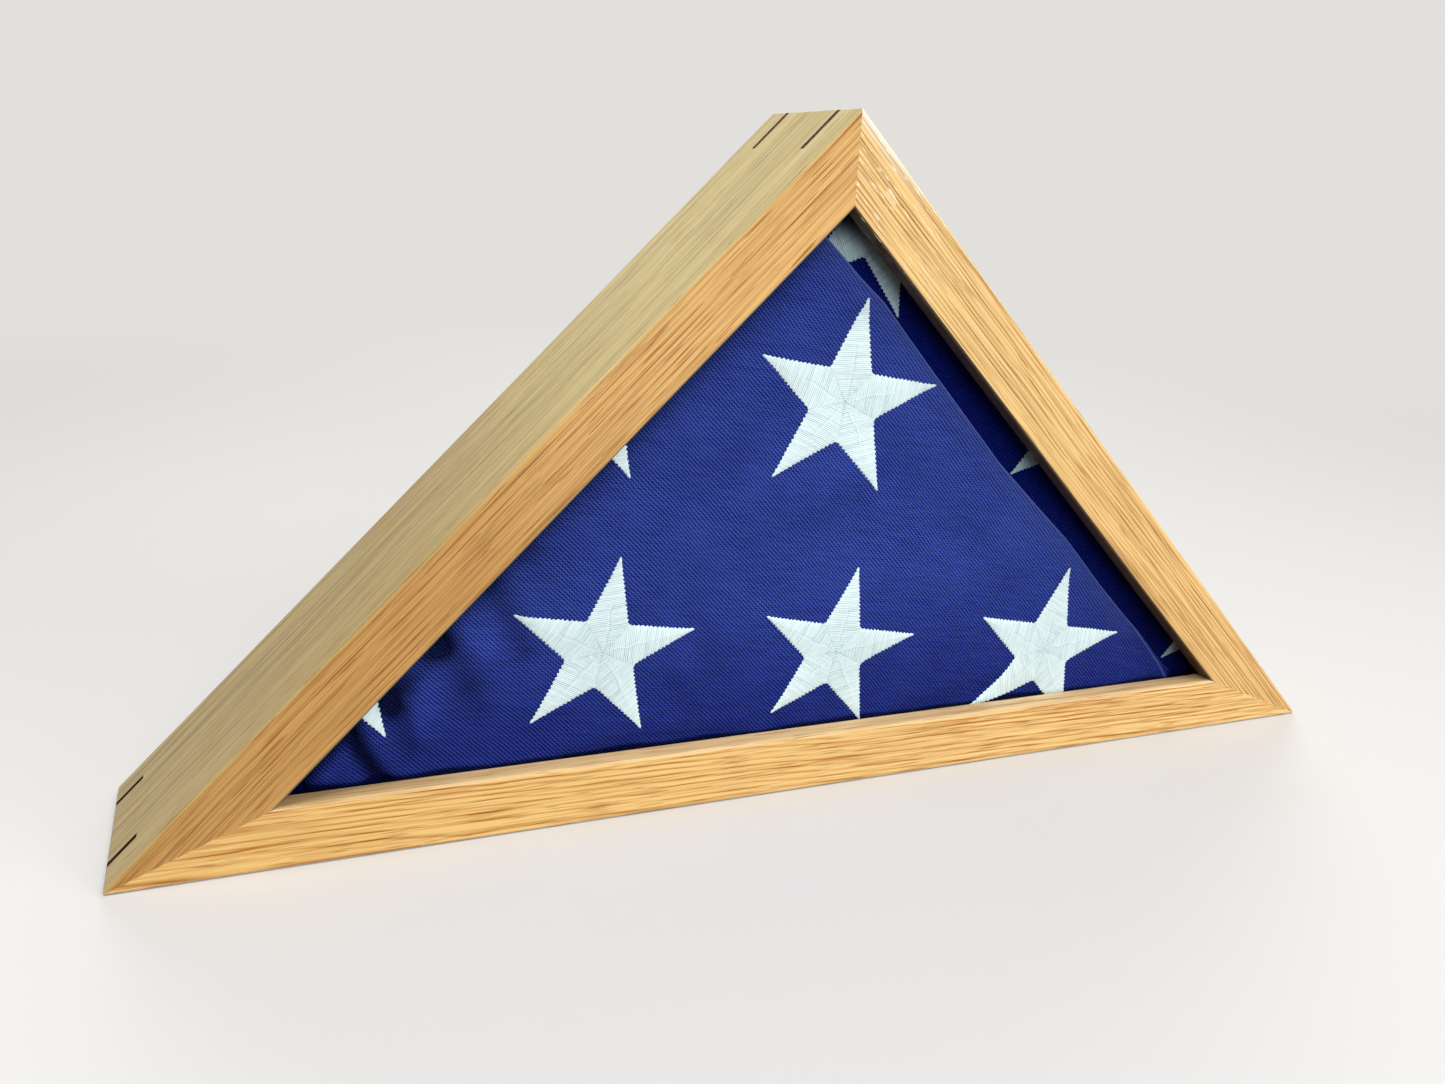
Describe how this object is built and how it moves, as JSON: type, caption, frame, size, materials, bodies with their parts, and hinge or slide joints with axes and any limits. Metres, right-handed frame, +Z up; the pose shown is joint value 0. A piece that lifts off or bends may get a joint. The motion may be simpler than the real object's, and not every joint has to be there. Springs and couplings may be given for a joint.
{
  "type": "flag display case",
  "caption": "Triangular glazed hardwood display case holding a triangle-folded flag, with a lift-off back panel.",
  "frame": {"origin": "on the resting face, midway along the base and midway between front and back", "axes": "+X along the base to the right seen from the front, +Y from the glazed front to the back, +Z up to the apex"},
  "size_m": [0.6438, 0.092, 0.3234],
  "materials": {
    "oak": "clear satin varnish, straight open grain",
    "walnut": "dark walnut under the same satin varnish",
    "glass": "clear, polished",
    "pins": "bright",
    "plywood": "sanded plywood with a thin clear coat",
    "magnets": "nickel plated",
    "steel": "plain, cut",
    "under_cloth": "dark blue woven cotton",
    "blue_cloth": "deep blue woven cotton",
    "white_thread": "raised satin stitch, slight sheen"
  },
  "bodies": {
    "case": {"bottom_rail": "oak", "left_rail": "oak", "right_rail": "oak", "apex_spline_front": "walnut", "apex_spline_back": "walnut", "left_spline_front": "walnut", "left_spline_back": "walnut", "right_spline_front": "walnut", "right_spline_back": "walnut", "glass_pane": "glass", "bottom_glass_stop": "oak", "left_glass_stop": "oak", "right_glass_stop": "oak", "glass_stop_pins": "pins", "case_magnets": "magnets"},
    "panel": {"back_panel": "plywood", "panel_discs": "steel"},
    "flag": {"flag_bundle": "under_cloth", "flag_front_layer": "blue_cloth", "flag_front_stars": "white_thread", "flag_covered_stars": "white_thread"}
  },
  "joints": [
    {"name": "panel_out", "type": "slide", "parent": "case", "child": "panel", "axis": [0, 1, 0], "range_m": [0, 0.2]},
    {"name": "flag_out", "type": "slide", "parent": "case", "child": "flag", "axis": [0, 1, 0], "range_m": [0, 0.1]}
  ],
  "couplings": [
    {"joint": "panel_out", "follows": "flag_out", "ratio": 2}
  ]
}
